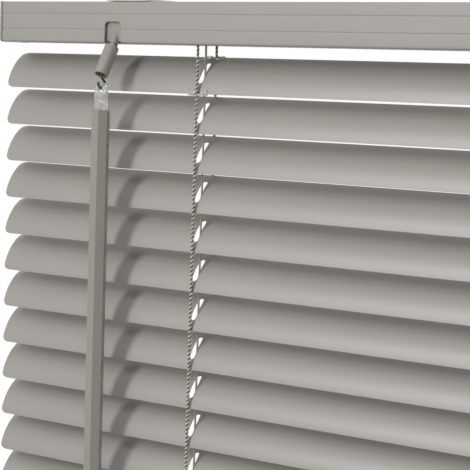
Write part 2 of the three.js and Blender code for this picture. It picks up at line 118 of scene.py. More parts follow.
def meshPiece(name, points, faces, uv=None, sharp=35):
    # A mesh from vertex and face arrays; uv is one pair per vertex.
    mesh = bpy.data.meshes.new(name)
    points = np.asarray(points, float).reshape(-1, 3)
    mesh.from_pydata(points.tolist(), [], np.asarray(faces).tolist())
    if uv is not None:
        layer = mesh.uv_layers.new(name="UVMap")
        corner = np.empty(len(mesh.loops), int)
        mesh.loops.foreach_get("vertex_index", corner)
        layer.data.foreach_set("uv", np.asarray(uv, float).reshape(-1, 2)[corner].ravel())
    return linked(name, mesh, sharp)


def linked(name, mesh, sharp=35):
    # Puts a mesh into the scene as a piece, smooth except across edges sharper than an angle.
    mesh.polygons.foreach_set("use_smooth", np.ones(len(mesh.polygons), bool))
    mesh.set_sharp_from_angle(angle=math.radians(sharp))
    piece = bpy.data.objects.new(name, mesh)
    bpy.context.scene.collection.objects.link(piece)
    return piece


def gridFaces(rows, columns, wrapRows=False, wrapColumns=False, keep=None):
    # Quads over a rows by columns grid of vertices, closed on itself where it wraps.
    row = np.arange(rows if wrapRows else rows - 1)
    column = np.arange(columns if wrapColumns else columns - 1)
    r, c = np.meshgrid(row, column, indexing="ij")
    nextRow, nextColumn = (r + 1) % rows, (c + 1) % columns
    quads = np.stack([r * columns + c, nextRow * columns + c,
                      nextRow * columns + nextColumn, r * columns + nextColumn], -1)
    return quads[keep] if keep is not None else quads.reshape(-1, 4)


def lengthAlong(path):
    # The length walked along a path up to each of its points.
    return np.concatenate([[0], np.cumsum(np.linalg.norm(np.diff(path, axis=0), axis=1))])


def pathFrame(path, reference):
    # Two directions square to a path at each point: n = t x reference and b = t x n, with t its tangent.
    tangent = np.gradient(path, axis=0)
    tangent /= np.linalg.norm(tangent, axis=1, keepdims=True)
    normal = np.cross(tangent, reference)
    normal /= np.linalg.norm(normal, axis=1, keepdims=True)
    return normal, np.cross(tangent, normal)


def tubeRings(path, radius, sides, reference):
    # Rings of radius r round a path: p + r (cos a n + sin a b), with n and b the path's own frame.
    path = np.asarray(path, float)
    normal, binormal = pathFrame(path, reference)
    angle = np.linspace(0, 2 * np.pi, sides, endpoint=False)
    radius = np.broadcast_to(np.asarray(radius, float).reshape(-1, 1, 1), (len(path), 1, 1))
    cosine, sine = np.cos(angle)[None, :, None], np.sin(angle)[None, :, None]
    return path[:, None] + radius * (cosine * normal[:, None] + sine * binormal[:, None])


def tubeParts(path, radius, sides, reference):
    # Vertices, faces and uv of a tube, its rings p + r (cos a n + sin a b), closed at each end by a fan.
    rings = tubeRings(path, radius, sides, reference)
    ends = [path[0], path[-1]]
    count = len(path)
    points = np.concatenate([rings.reshape(-1, 3), np.array(ends)])
    quads = gridFaces(count, sides, wrapColumns=True)
    around = np.arange(sides)
    first = np.stack([np.full(sides, count * sides), around, (around + 1) % sides], -1)
    last = np.stack([np.full(sides, count * sides + 1), (count - 1) * sides + (around + 1) % sides,
                     (count - 1) * sides + around], -1)
    faces = quads.tolist() + first.tolist() + last.tolist()
    along = lengthAlong(path)
    uv = np.stack(np.meshgrid(np.arange(sides) / sides, along, indexing="xy"), -1).reshape(-1, 2)
    uv = np.concatenate([uv, [[0, along[0]], [0, along[-1]]]])
    return points, faces, uv


def joined(name, parts, sharp=35):
    # Several (vertices, faces, uv) sets as one mesh.
    start = 0
    points, faces, uvs = [], [], []
    for partPoints, partFaces, partUv in parts:
        points.append(partPoints)
        uvs.append(partUv)
        faces += [[index + start for index in face] for face in partFaces]
        start += len(partPoints)
    mesh = bpy.data.meshes.new(name)
    mesh.from_pydata(np.concatenate(points).tolist(), [], faces)
    layer = mesh.uv_layers.new(name="UVMap")
    corner = np.empty(len(mesh.loops), int)
    mesh.loops.foreach_get("vertex_index", corner)
    layer.data.foreach_set("uv", np.concatenate(uvs)[corner].ravel())
    return outward(linked(name, mesh, sharp))


def smoothPath(points, count):
    # A Catmull-Rom curve through points, sampled evenly in its parameter.
    points = np.asarray(points, float)
    padded = np.concatenate([[2 * points[0] - points[1]], points, [2 * points[-1] - points[-2]]])
    place = np.linspace(0, len(points) - 1, count)
    cell = np.minimum(place.astype(int), len(points) - 2)
    t = (place - cell)[:, None]
    a, b, c, d = (padded[cell + k] for k in range(4))
    square, cube = 2 * a - 5 * b + 4 * c - d, 3 * b - a - 3 * c + d
    return 0.5 * (2 * b + (c - a) * t + square * t ** 2 + cube * t ** 3)


def turnedParts(profile, sides, place, axis):
    # A closed (radius, height) profile turned about an axis: p + h a + r (cos v m + sin v n).
    profile = np.asarray(profile, float)
    axis = np.asarray(axis, float) / np.linalg.norm(axis)
    side = np.cross(axis, (0.0, 1.0, 0.0) if abs(axis[1]) < 0.9 else (1.0, 0.0, 0.0))
    side /= np.linalg.norm(side)
    other = np.cross(axis, side)
    angle = np.linspace(0, 2 * np.pi, sides, endpoint=False)
    spoke = np.cos(angle)[:, None] * side + np.sin(angle)[:, None] * other
    points = (np.asarray(place, float) + profile[:, None, 1:] * axis + profile[:, None, :1] * spoke[None])
    faces = gridFaces(len(profile), sides, wrapRows=True, wrapColumns=True)
    uv = np.stack(np.meshgrid(np.arange(sides) / sides, profile[:, 1], indexing="xy"), -1).reshape(-1, 2)
    return points.reshape(-1, 3), faces.tolist(), uv


def softened(profile, radius, steps=3):
    # A closed profile with each corner cut back by radius and rounded by a quadratic curve.
    corner = np.asarray(profile, float)
    before, after = np.roll(corner, 1, 0), np.roll(corner, -1, 0)
    back, ahead = before - corner, after - corner
    backLength = np.maximum(np.linalg.norm(back, axis=1, keepdims=True), 1e-9)
    aheadLength = np.maximum(np.linalg.norm(ahead, axis=1, keepdims=True), 1e-9)
    reach = np.minimum(radius, 0.45 * np.minimum(backLength, aheadLength))
    start, finish = corner + back / backLength * reach, corner + ahead / aheadLength * reach
    t = np.linspace(0, 1, steps + 1)[None, :, None]
    curve = (1 - t) ** 2 * start[:, None] + 2 * t * (1 - t) * corner[:, None] + t ** 2 * finish[:, None]
    return curve.reshape(-1, 2)


def outward(piece):
    # Merges doubles and turns the faces outwards.
    work = bmesh.new()
    work.from_mesh(piece.data)
    bmesh.ops.remove_doubles(work, verts=work.verts, dist=1e-6)
    bmesh.ops.recalc_face_normals(work, faces=work.faces)
    work.to_mesh(piece.data)
    work.free()
    return piece


def applied(piece, sharp=35):
    # Replaces the mesh by what its modifiers make of it.
    view = bpy.context.evaluated_depsgraph_get()
    mesh = bpy.data.meshes.new_from_object(piece.evaluated_get(view))
    piece.modifiers.clear()
    piece.data = mesh
    mesh.polygons.foreach_set("use_smooth", np.ones(len(mesh.polygons), bool))
    mesh.set_sharp_from_angle(angle=math.radians(sharp))
    return piece


def roundedCopy(node, width, segments=2, angle=30):
    # A merged copy of a CAD node with its edges rounded by a bevel, standing for the node.
    mesh = nodes[node].data.copy()
    piece = bpy.data.objects.new(node + "_body", mesh)
    bpy.context.scene.collection.objects.link(piece)
    outward(piece)
    dissolve = piece.modifiers.new("flats", "DECIMATE")
    dissolve.decimate_type = "DISSOLVE"
    dissolve.angle_limit = math.radians(1)
    applied(piece)
    bevel = piece.modifiers.new("edges", "BEVEL")
    bevel.width = width
    bevel.segments = segments
    bevel.limit_method = "ANGLE"
    bevel.angle_limit = math.radians(angle)
    bevel.use_clamp_overlap = True
    applied(piece, 40)
    even = piece.modifiers.new("even", "WEIGHTED_NORMAL")
    even.keep_sharp = True
    view = bpy.context.evaluated_depsgraph_get()
    piece.data = bpy.data.meshes.new_from_object(piece.evaluated_get(view))
    piece.modifiers.clear()
    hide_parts(node)
    return piece


bodyOf = {node: body for body, members in frame["record"]["behaviour"]["bodies"].items() for node in members}


def tiltedFrame(y, z, height):
    # Blind coordinates of a point (y, z) in a slat's own frame, tilted at rest.
    return (y * math.cos(restTilt) - z * math.sin(restTilt),
            height + y * math.sin(restTilt) + z * math.cos(restTilt))


def nodeGroup(name, inputs, outputs, build):
    # A shader group: inputs are (name, value), outputs are names.
    group = bpy.data.node_groups.new(name, "ShaderNodeTree")
    for label, value in inputs:
        socket = group.interface.new_socket(label, in_out="INPUT", socket_type="NodeSocketFloat")
        socket.default_value = value
    for label in outputs:
        group.interface.new_socket(label, in_out="OUTPUT", socket_type="NodeSocketFloat")
    start, end = group.nodes.new("NodeGroupInput"), group.nodes.new("NodeGroupOutput")
    build(group, start, end)
    return group


def mathNode(tree, operation, first, second, third=None):
    # One math node: each operand is a socket to link or a number to set.
    node = tree.nodes.new("ShaderNodeMath")
    node.operation = operation
    for slot, value in enumerate((first, second, third)):
        if value is None:
            continue
        if hasattr(value, "default_value"):
            tree.links.new(value, node.inputs[slot])
        else:
            node.inputs[slot].default_value = value
    return node.outputs[0]


def buildMottle(tree, start, end):
    # Slow cloudy noise plus fine grain, both centred on zero, as one mask.
    place = tree.nodes.new("ShaderNodeTexCoord")
    values = []
    for scale, detail, amount in (("Cloud Scale", 3, "Cloud"), ("Grain Scale", 4, "Grain")):
        noise = tree.nodes.new("ShaderNodeTexNoise")
        noise.inputs["Detail"].default_value = detail
        tree.links.new(place.outputs["Object"], noise.inputs["Vector"])
        tree.links.new(start.outputs[scale], noise.inputs["Scale"])
        centred = mathNode(tree, "SUBTRACT", noise.outputs["Fac"], 0.5)
        values.append(mathNode(tree, "MULTIPLY", centred, start.outputs[amount]))
    tree.links.new(mathNode(tree, "ADD", *values), end.inputs["Mask"])


mottle = nodeGroup("mottle", (("Cloud Scale", 18.0), ("Cloud", 0.5), ("Grain Scale", 900.0), ("Grain", 0.5)),
                   ("Mask",), buildMottle)


def finish(name, color, roughness, settings=None, mottling=0.1, grain=900.0, bump=0.0004, roughVary=0.12):
    # A Principled material whose colour, roughness and height vary with the mottle group.
    material = bpy.data.materials.new(name)
    material.use_nodes = True
    tree = material.node_tree
    shader = tree.nodes["Principled BSDF"]
    for label, value in (settings or {}).items():
        shader.inputs[label].default_value = value
    spots = tree.nodes.new("ShaderNodeGroup")
    spots.node_tree = mottle
    spots.inputs["Grain Scale"].default_value = grain
    ramp = tree.nodes.new("ShaderNodeMapRange")
    ramp.inputs["From Min"].default_value = -0.35
    ramp.inputs["From Max"].default_value = 0.35
    ramp.inputs["To Min"].default_value = 1 - mottling
    ramp.inputs["To Max"].default_value = 1 + mottling
    tree.links.new(spots.outputs["Mask"], ramp.inputs["Value"])
    tint = tree.nodes.new("ShaderNodeVectorMath")
    tint.operation = "SCALE"
    tint.inputs[0].default_value = color
    tree.links.new(ramp.outputs["Result"], tint.inputs["Scale"])
    tree.links.new(tint.outputs["Vector"], shader.inputs["Base Color"])
    rough = mathNode(tree, "MULTIPLY_ADD", spots.outputs["Mask"], roughVary, roughness)
    tree.links.new(rough, shader.inputs["Roughness"])
    height = tree.nodes.new("ShaderNodeBump")
    height.inputs["Strength"].default_value = 0.6
    height.inputs["Distance"].default_value = bump
    tree.links.new(spots.outputs["Mask"], height.inputs["Height"])
    tree.links.new(height.outputs["Normal"], shader.inputs["Normal"])
    return material


def braided(name, color, gapShade, across, along, roughness=0.85):
    # Slanted threads on a cord's own uv: sine of (across u + along v), which also darkens the colour between the
    # threads as painted shade in the grooves, and a near-black second strand where u > 1.5, painted shade for the
    # dark gaps between the plies.
    sheen = {"Sheen Weight": 0.25, "Sheen Roughness": 0.5}
    material = finish(name, color, roughness, sheen, 0.12, 2600.0, 0.0002)
    tree = material.node_tree
    shader = tree.nodes["Principled BSDF"]
    uv = tree.nodes.new("ShaderNodeUVMap")
    split = tree.nodes.new("ShaderNodeSeparateXYZ")
    tree.links.new(uv.outputs["UV"], split.inputs[0])
    turn = mathNode(tree, "MULTIPLY", split.outputs["X"], across * 2 * math.pi)
    phase = mathNode(tree, "MULTIPLY_ADD", split.outputs["Y"], along, turn)
    thread = mathNode(tree, "MULTIPLY_ADD", mathNode(tree, "SINE", phase, 0.0), 0.5, 0.5)
    first = mathNode(tree, "LESS_THAN", split.outputs["X"], 1.5)
    light = mathNode(tree, "MULTIPLY", first, mathNode(tree, "MULTIPLY_ADD", thread, 0.35, 0.65))
    mix = tree.nodes.new("ShaderNodeMix")
    mix.data_type = "RGBA"
    # the second colour is painted shade: the dark gaps between the plies and the grooves between the threads
    mix.inputs["A"].default_value = (*gapShade, 1)
    mix.inputs["B"].default_value = (*color, 1)
    tree.links.new(light, mix.inputs["Factor"])
    tree.links.new(mix.outputs["Result"], shader.inputs["Base Color"])
    bump = next(node for node in tree.nodes if node.bl_idname == "ShaderNodeBump")
    tree.links.new(thread, bump.inputs["Height"])
    return material


finishes = {
    "slat_vinyl": finish("slat_vinyl", (0.237, 0.224, 0.206), 0.4,
                         {"Specular IOR Level": 0.55}, 0.05, 1400.0, 0.00006),
    "painted_rail": finish("painted_rail", (0.25, 0.238, 0.219), 0.4,
                           {"Specular IOR Level": 0.45}, 0.05, 1800.0, 0.00008),
    "grey_plastic": finish("grey_plastic", (0.215, 0.205, 0.183), 0.42, {}, 0.07, 1500.0, 0.0001),
    "white_plastic": finish("white_plastic", (0.62, 0.61, 0.57), 0.45, {}, 0.05, 1500.0, 0.0001),
    "steel": finish("steel", (0.09, 0.087, 0.083), 0.34, {"Metallic": 1.0}, 0.15, 2000.0, 0.00008),
    "zinc_rod": finish("zinc_rod", (0.45, 0.45, 0.44), 0.35, {"Metallic": 1.0}, 0.15, 700.0, 0.00008),
    "clear_plastic": finish("clear_plastic", (0.86, 0.88, 0.87), 0.14,
                            {"Transmission Weight": 0.84, "IOR": 1.46}, 0.02, 900.0, 0.00006),
    # the second, dark colour of each braided cord is painted shade between its plies and threads
    "string": braided("string", (0.66, 0.63, 0.55), (0.06, 0.055, 0.045), 3, 2400),
    "lift_braid": braided("lift_braid", (0.3, 0.285, 0.26), (0.12, 0.113, 0.1), 4, 5200),
}


def dress(piece, material, body):
    # Gives a piece its finish and, where one is named, the body it rides on.
    piece.data.materials.clear()
    piece.data.materials.append(finishes[material])
    piece.data.polygons.foreach_set("material_index", np.zeros(len(piece.data.polygons), int))
    if body:
        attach(piece, body)
    return piece


cordValues = {"strandRadius": 0.45 * mm, "twistRadius": 0.38 * mm, "twistPitch": 2.3 * mm, "phase": 0.8,
              "step": 0.22 * mm, "drum": 5.2 * mm,
              # where each straight string begins, over the rail's floor
              "top": {"front": 0.7 * mm, "rear": 18.5 * mm},
              "liftRadius": 0.6 * mm, "liftRings": 220, "loop": 0.33 * mm, "loopDrop": 6.5 * mm}
liftBend = [(0, -4), (0.4, -1.8), (1.8, -0.4), (4, 0)]  # across and down from the corner of the run, in mm


def twistedString(name, path, values, phase=0.0):
    # Two strands wound round a path: p + r (cos k n + sin k b), k growing by a turn every pitch.
    along = lengthAlong(path)
    reference = np.array((1.0, 0.0, 0.0))
    normal, binormal = pathFrame(path, reference)
    parts = []
    for strandNumber in (0, 1):
        turn = (along / values["twistPitch"] * 2 * np.pi + strandNumber * np.pi + phase)[:, None]
        strand = path + values["twistRadius"] * (np.cos(turn) * normal + np.sin(turn) * binormal)
        ends = np.minimum(along, along[-1] - along) / values["strandRadius"]
        radius = values["strandRadius"] * np.sqrt(1 - np.clip(1 - ends, 0, 0.9) ** 2)
        points, faces, uv = tubeParts(strand, radius, 8, reference)
        parts.append((points, faces, uv + np.array((2.0 * strandNumber, 0.0))))
    return joined(name, parts, 80)


def leadPath(x, y, topZ, values):
    # Inside the rail: from the drum, by its rim, to the top of the straight string.
    side = 1 if y > rodAt[1] else -1
    rim = np.array((x, rodAt[1] + side * values["drum"], rodAt[2]))
    end = np.array((x, y, topZ))
    over = 1 if rim[2] > topZ else -1
    drum = values["drum"]
    start = np.array((x, rodAt[1] + side * drum * 0.75, rodAt[2] + over * drum * 0.7))
    return smoothPath([start, rim, (rim + end) / 2, end], 60), rim, end


for index, side in enumerate(sides):
    for edge in ("front", "rear"):
        node = f"ladder_{edge}_{side}"
        low, high = (np.array(corner, float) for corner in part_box(node))
        x, y = ladderX[index], float(low[1] + high[1]) / 2
        topZ = railFloor + cordValues["top"][edge]
        down = np.linspace(topZ, float(low[2]), int((topZ - low[2]) / cordValues["step"]))
        path = np.stack([np.full_like(down, x), np.full_like(down, y), down], -1)
        ladder = twistedString(node + "_string", path, cordValues, cordValues["phase"] * index)
        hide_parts(node)
        dress(ladder, "string", "ladder_" + edge)
        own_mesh(ladder)
        path, rim, end = leadPath(x, y, topZ, cordValues)
        lead = dress(twistedString(node + "_lead", path, cordValues), "string", None)
        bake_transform(lead)

    node = "lift_cord_" + side
    low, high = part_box(node)
    x = cordX[index]
    inward = 1 if index == 0 else -1
    runZ = float(high[2]) - cordValues["liftRadius"]
    farX = float(high[0] if inward > 0 else low[0])
    farY = float(low[1] if inward > 0 else high[1]) + inward * cordValues["liftRadius"]
    foot = float(low[2])
    corner = [(x + inward * across * mm, 0, runZ + down * mm) for across, down in liftBend]
    bend = smoothPath(corner + [(farX, farY, runZ)], 40)[1:]
    vertical = np.linspace(foot, corner[0][2], cordValues["liftRings"])
    path = np.concatenate([np.stack([np.full_like(vertical, x), 0 * vertical, vertical], -1), bend])
    liftCord = joined(node + "_braid", [tubeParts(path, cordValues["liftRadius"], 12, (0, 1, 0.02))])
    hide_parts(node)
    dress(liftCord, "lift_braid", "headrail_frame")
    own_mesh(liftCord)
    # the loose loop from the front string past the lift cord
    x, frontY = ladderX[index], middleOf("ladder_front_" + side, 1)
    level = railFloor - cordValues["loopDrop"]
    loopPath = smoothPath([(x - 0.4 * mm, frontY, level + 0.3 * mm), (x - 1.1 * mm, frontY + 1.6 * mm, level),
                           (x - 1.2 * mm, -1.2 * mm, level - 0.9 * mm),
                           (x - 1.25 * mm, 0.8 * mm, level - 0.5 * mm)], 30)
    loop = joined("ladder_loop_" + side, [tubeParts(loopPath, cordValues["loop"], 8, (0.1, 0.0, 1.0))], 80)
    dress(loop, "string", "ladder_front")
print("cords made")


def slatSpots(values):
    # Columns along the blind, close together round the route holes and at the ends.
    radius = values["slotWidth"] / 2
    columns = [np.linspace(slatEnds[0] + values["corner"], slatEnds[1] - values["corner"], 25)]
    for x in cordX:
        columns.append(x + radius * np.sin(np.linspace(-np.pi / 2, np.pi / 2, 9)))
        columns.append(x + np.array([-1.8, -1.3, 1.3, 1.8]) * radius)
    return np.unique(np.round(np.concatenate(columns), 7))


def slatMesh(values):
    # The middle surface of a slat: x along, s across on a circular crown z = R cos(s/R) - R + drop.
    # The end columns follow the rounded corners, the middle rows follow the route holes.
    middle = slatSpots(values)
    extra, knot = values["cornerColumns"], values["slotShare"]
    columns = len(middle) + 2 * extra
    halfArc = arcRadius * math.radians(values["halfAngle"])
    radius = values["slotWidth"] / 2
    straight = values["slotLength"] / 2 - radius
    share = np.concatenate([np.linspace(-1, -knot, 13), np.linspace(-knot, knot, 9)[1:],
                            np.linspace(knot, 1, 13)[1:]])
    x = np.concatenate([np.repeat(middle[0], extra), middle, np.repeat(middle[-1], extra)])
    near = np.min(np.abs(x[:, None] - np.array(cordX)[None]), axis=1)
    mouth = straight + np.sqrt(np.clip(radius ** 2 - near ** 2, 0, None))
    size = np.abs(share)[None]
    across = np.where(size <= knot, size / knot * mouth[:, None],
                      mouth[:, None] + (size - knot) / (1 - knot) * (halfArc - mouth[:, None]))
    across = across * np.sign(share)[None]
    over = np.clip(np.abs(across) - (halfArc - values["corner"]), 0, values["corner"])
    edge = values["corner"] - np.sqrt(np.clip(values["corner"] ** 2 - over ** 2, 0, None))
    grid = np.broadcast_to(x[:, None], across.shape).copy()
    step = np.sin(np.linspace(0, np.pi / 2, extra + 1))[1:, None]
    grid[:extra] = middle[0] - step[::-1] * (values["corner"] - edge[:extra])
    grid[-extra:] = middle[-1] + step * (values["corner"] - edge[-extra:])
    angle = across / arcRadius
    y = arcRadius * np.sin(angle)
    z = arcRadius * np.cos(angle) - arcRadius + sagitta / 2
    inHole = (near[:-1] < radius * 0.999) | (near[1:] < radius * 0.999)
    inside = (np.maximum(near[:-1], near[1:]) <= radius * 1.001) & inHole
    rows = (np.abs(share[:-1] + share[1:]) / 2) < knot
    keep = ~(inside[:, None] & rows[None])
    faces = gridFaces(columns, len(share), keep=keep)
    return np.stack([grid, y, z], -1), faces, np.stack([grid, across], -1)


slatPoints, slatFaces, slatUv = slatMesh(slatValues)
for number, height in zip(numbers, slatZ):
    y, z = tiltedFrame(slatPoints[..., 1], slatPoints[..., 2], height)
    spots = np.stack([slatPoints[..., 0], y, z], -1)
    slat = meshPiece("slat_" + number + "_strip", spots, slatFaces, slatUv)
    wall = slat.modifiers.new("wall", "SOLIDIFY")
    wall.thickness = slatValues["thick"]
    wall.offset = 0
    applied(slat)
    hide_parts("slat_" + number)
    dress(slat, "slat_vinyl", "slat_" + number)

rungValues = {"reach": 13.9 * mm, "under": 0.75 * mm, "sag": 0.35 * mm, "apart": 2.4 * mm, "thread": 0.3 * mm}


def rungPath(x, height, values, offset):
    # A thread under the slat, with v from -1 to 1 between the strings: z = z0 - sag (1 - v^2), and
    # x + offset (1 - v^8), which brings its ends together on the string.
    v = np.linspace(-1, 1, 21)
    y = v * values["reach"]
    z = -sagitta / 2 - values["under"] - values["sag"] * (1 - v ** 2)
    worldY, worldZ = tiltedFrame(y, z, height)
    return np.stack([x + offset * (1 - v ** 8), worldY, worldZ], -1)


for number, height in zip(numbers, slatZ):
    parts = []
    for x in ladderX:
        for offset in (-rungValues["apart"] / 2, rungValues["apart"] / 2):
            path = rungPath(x, height, rungValues, offset)
            parts.append(tubeParts(path, rungValues["thread"], 8, (1.0, 0.0, 0.0)))
    rungs = joined("rungs_" + number, parts)
    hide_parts("rung_" + number)
    dress(rungs, "string", "slat_" + number)

clipValues = {"width": 12.6 * mm, "notch": 3.4 * mm, "lip": 3.2 * mm, "thick": 0.7 * mm, "clear": 0.05 * mm,
              "bridgeAt": 9.6 * mm, "bridgeUnder": 0.65 * mm, "bridgeRadius": 0.35 * mm}


def arcPoints(radius, along):
    # Points of an arc about the crown's centre: (r sin(s/R), r cos(s/R)), s measured on the slat's radius R.
    return np.stack([radius * np.sin(along / arcRadius), radius * np.cos(along / arcRadius)], -1)


def clipPath(values):
    # Round a slat from lip to lip: the arc under it, a half circle about each edge, and back over it.
    halfArc = arcRadius * math.radians(slatValues["halfAngle"])
    off = slatValues["thick"] / 2 + values["thick"] / 2 + values["clear"]
    below = arcPoints(arcRadius - off, np.linspace(-1, 1, 25) * halfArc)
    above = arcPoints(arcRadius + off, np.linspace(halfArc, halfArc - values["lip"], 6))
    turn = np.linspace(-np.pi / 2, np.pi / 2, 9)[1:-1]
    edge = math.radians(slatValues["halfAngle"])
    rim = np.stack([arcRadius * math.sin(edge) + off * np.cos(turn - edge),
                    arcRadius * math.cos(edge) + off * np.sin(turn - edge)], -1)
    rear = np.concatenate([rim, above])
    front = rear[::-1] * np.array((-1.0, 1.0))
    path = np.concatenate([front, below, rear])
    path[:, 1] -= arcRadius - sagitta / 2
    return path


def clipParts(x, values):
    # Two ears round the slat beside the string and two bridges between them. An ear's width falls off as
    # sqrt(1 - (1 - d)^2) towards each lip, and its section is a superellipse.
    path = clipPath(values)
    along = lengthAlong(path)
    tangent = np.gradient(path, along, axis=0)
    tangent /= np.linalg.norm(tangent, axis=1, keepdims=True)
    normal = np.stack([-tangent[:, 1], tangent[:, 0]], -1)
    ear = (values["width"] - values["notch"]) / 2
    near = np.minimum(along, along[-1] - along)
    narrow = np.sqrt(np.clip(1 - (1 - np.clip(near / (ear / 2), 0, 1)) ** 2, 0.02, 1))
    around = np.linspace(0, 2 * np.pi, 20, endpoint=False)
    wide = np.sign(np.cos(around)) * np.abs(np.cos(around)) ** 0.35
    deep = np.sign(np.sin(around)) * np.abs(np.sin(around)) ** 0.55
    parts = []
    for side in (-1, 1):
        centre = x + side * (values["notch"] + ear) / 2
        ringX = centre + narrow[:, None] * wide[None] * ear / 2
        ring = path[:, None] + normal[:, None] * (deep * values["thick"] / 2)[None, :, None]
        y, z = tiltedFrame(ring[..., 0], ring[..., 1], slatZ[0])
        points = np.stack([ringX, y, z], -1).reshape(-1, 3)
        faces = gridFaces(len(path), len(around), wrapColumns=True).tolist()
        faces += [list(range(len(around)))[::-1], list(range(len(points) - len(around), len(points)))]
        parts.append((points, faces, np.zeros((len(points), 2))))
    for place in (-values["bridgeAt"], values["bridgeAt"]):
        height = math.sqrt((arcRadius - values["bridgeUnder"]) ** 2 - place ** 2) - arcRadius + sagitta / 2
        y, z = tiltedFrame(place, height, slatZ[0])
        bar = [(x - values["notch"], y, z), (x, y, z), (x + values["notch"], y, z)]
        parts.append(tubeParts(smoothPath(bar, 8), values["bridgeRadius"], 10, (0.0, 0.0, 1.0)))
    return parts


for index, side in enumerate(sides):
    clip = joined("slat_clip_" + side, clipParts(ladderX[index], clipValues), 50)
    dress(clip, "clear_plastic", "slat_01")
print("slats, rungs and clips made")


rimValues = {"floor": 5.2 * mm, "corner": 2.2 * mm, "wall": 1.2 * mm, "cap": 1.4 * mm, "capEdge": 0.25 * mm}


def rimOutline(values, inset):
    # The bottom rail's section: a crown of the slat's radius, (R sin a, R cos a - R), then straight sides
    # and a flat floor joined by quarter circles.
    y = slatValues["chord"] / 2 - inset
    reach = math.asin(y / arcRadius)
    angle = np.linspace(-reach, reach, 25)
    crown = np.stack([(arcRadius - inset) * np.sin(angle),
                      (arcRadius - inset) * np.cos(angle) - arcRadius + sagitta / 2], -1)
    floor = -sagitta / 2 - values["floor"] + inset
    turn = np.linspace(0, np.pi / 2, 7)[:, None]
    r = values["corner"]
    right = np.concatenate([y - r + r * np.cos(turn), floor + r - r * np.sin(turn)], -1)
    left = np.concatenate([-y + r - r * np.sin(turn), floor + r - r * np.cos(turn)], -1)
    # the crown's own ends are left out, so that the lips are rounded
    return np.concatenate([crown[1:-1], right, left])


def sweptTube(name, outer, inner, x0, x1, height, columns=9):
    # A section carried along X, hollow: out along its outside, back along its inside, closed on itself.
    x = np.linspace(x0, x1, columns)
    walls = np.concatenate([np.tile(wall, (columns, 1, 1)) for wall in (outer, inner)])
    y, z = tiltedFrame(walls[..., 0], walls[..., 1], height)
    points = np.stack([np.repeat(np.concatenate([x, x[::-1]])[:, None], len(outer), 1), y, z], -1)
    faces = gridFaces(2 * columns, len(outer), wrapRows=True, wrapColumns=True)
    return outward(meshPiece(name, points, faces))


def rimSolid(name, outline, x0, x1, height):
    # A section carried along X and closed at both ends by shrinking it to its middle.
    shrink = np.array([0.0, 0.9, 1.0, 1.0, 0.9, 0.0])
    x = np.array([x0, x0, x0 + rimValues["capEdge"], x1 - rimValues["capEdge"], x1, x1])
    centre = outline.mean(0)
    section = centre + shrink[:, None, None] * (outline - centre)
    y, z = tiltedFrame(section[..., 0], section[..., 1], height)
    points = np.stack([np.repeat(x[:, None], len(outline), 1), y, z], -1)
    return outward(meshPiece(name, points, gridFaces(len(x), len(outline), wrapColumns=True)))


railBox = [float(corner[0]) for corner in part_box("bottom_rail")]
bottomRail = sweptTube("bottom_rail_tube", rimOutline(rimValues, 0), rimOutline(rimValues, rimValues["wall"]),
                       railBox[0], railBox[1], bottomZ)
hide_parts("bottom_rail")
dress(bottomRail, "painted_rail", "bottom")
for side in sides:
    low, high = (float(corner[0]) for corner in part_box("bottom_cap_" + side))
    outer = (low, low + rimValues["cap"]) if side == "left" else (high - rimValues["cap"], high)
    cap = rimSolid(f"bottom_cap_{side}_face", rimOutline(rimValues, 0), *outer, bottomZ)
    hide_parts("bottom_cap_" + side)
    dress(cap, "grey_plastic", "bottom")

buttonValues = {"radius": 4.6 * mm, "thick": 1.3 * mm, "hole": 1.1 * mm, "soft": 0.4 * mm}
for index, side in enumerate(sides):
    floor = -sagitta / 2 - rimValues["floor"]
    y, z = tiltedFrame(0.0, floor, bottomZ)
    axis = (0, math.sin(restTilt), -math.cos(restTilt))
    r, t, hole = (buttonValues[name] for name in ("radius", "thick", "hole"))
    profile = softened([(hole, 0), (r, 0), (r * 0.86, t), (hole, t)], buttonValues["soft"])
    button = joined("cord_button_" + side, [turnedParts(profile, 40, (cordX[index], y, z), axis)])
    dress(button, "grey_plastic", "bottom")

knotValues = {"cord": 0.55 * mm, "points": 160}


def knotPath(centre, half, values):
    # A trefoil: (sin t + 2 sin 2t, cos t - 2 cos 2t, -sin 3t), each axis scaled to the knot's half size.
    t = np.linspace(0, 2 * np.pi, values["points"], endpoint=False)
    across, over, up = np.sin(t) + 2 * np.sin(2 * t), np.cos(t) - 2 * np.cos(2 * t), -2.2 * np.sin(3 * t)
    curve = np.stack([across, over, up], -1)
    return centre + curve / np.abs(curve).max(0) * (half - values["cord"])


for side in sides:
    node = "cord_knot_" + side
    low, high = (np.array(corner, float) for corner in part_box(node))
    path = knotPath((low + high) / 2, (high - low) / 2, knotValues)
    knot = joined(node + "_turns", [tubeParts(path, knotValues["cord"], 12, (0.3, 0.2, 1.0))], 80)
    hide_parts(node)
    dress(knot, "lift_braid", bodyOf[node])
print("bottom rail made")


# each CAD node whose shape is kept: its finish, and how far its edges are rounded, in mm
hardPieces = {
    "headrail": ("painted_rail", 0.22),
    "end_cap_left": ("grey_plastic", 0.3), "end_cap_right": ("grey_plastic", 0.3),
    "bracket_left": ("zinc_rod", 0.15), "bracket_right": ("zinc_rod", 0.15),
    "bracket_lever_left": ("white_plastic", 0.2), "bracket_lever_right": ("white_plastic", 0.2),
    "tilter_housing": ("grey_plastic", 0.2),
    "cradle_left": ("white_plastic", 0.2), "cradle_right": ("white_plastic", 0.2),
    "spring_motor": ("white_plastic", 0.2), "tilter_gear": ("white_plastic", 0.12),
    "wand": ("grey_plastic", 0.35),
}
for node, (material, width) in hardPieces.items():
    piece = roundedCopy(node, width * mm)
    dress(piece, material, bodyOf[node])

stemAxis = np.array(joints["stem_turn"]["axis"])
stemAt = np.array(joints["stem_turn"]["pos_m"])


